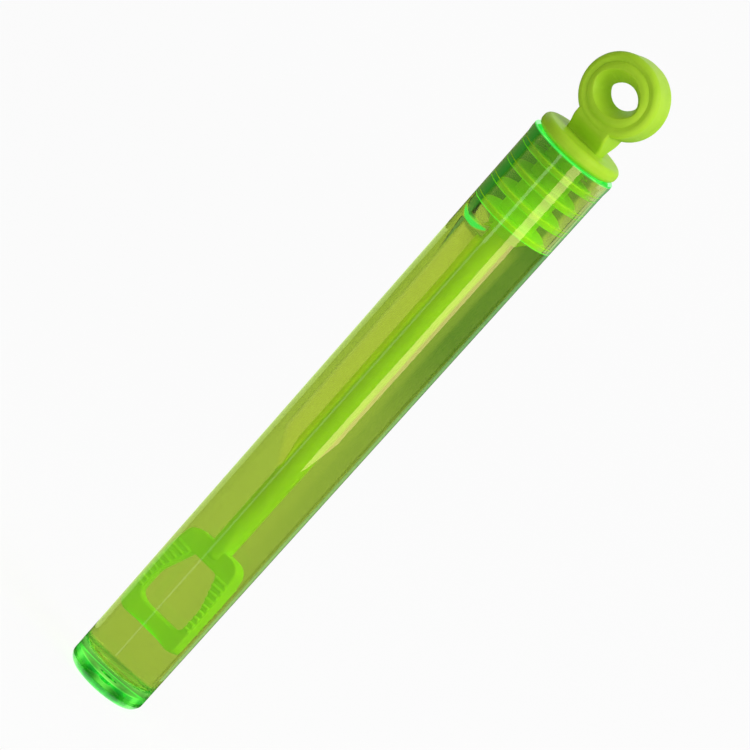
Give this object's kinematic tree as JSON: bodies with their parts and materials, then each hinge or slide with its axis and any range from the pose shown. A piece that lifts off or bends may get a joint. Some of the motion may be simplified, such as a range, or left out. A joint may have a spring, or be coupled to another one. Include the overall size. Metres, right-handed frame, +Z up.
{
  "type": "bubble wand",
  "caption": "Slim drafted see-through tube closed by a ribbed stopper with a ring handle, whose stem carries a ribbed dipping loop down into the tube.",
  "frame": {"origin": "centre of the tube's foot, on the surface that it stands on", "axes": "+Z up the tube to the ring handle, X across the ring and the loop, Y through the ring's eye"},
  "size_m": [0.0144, 0.0144, 0.1221],
  "materials": {
    "tube": "clear fluorescent yellow-green polystyrene, polished",
    "stopper": "lime polyethylene, satin as moulded",
    "wand": "lime polyethylene, satin as moulded",
    "solution": "clear bubble solution that fills the tube"
  },
  "bodies": {
    "tube": {"tube": "tube"},
    "stopper": {"stopper": "stopper", "wand": "wand"}
  },
  "joints": [
    {"name": "stopper_pull", "type": "slide", "parent": "tube", "child": "stopper", "axis": [0, 0, 1], "range_m": [0, 0.1]}
  ]
}
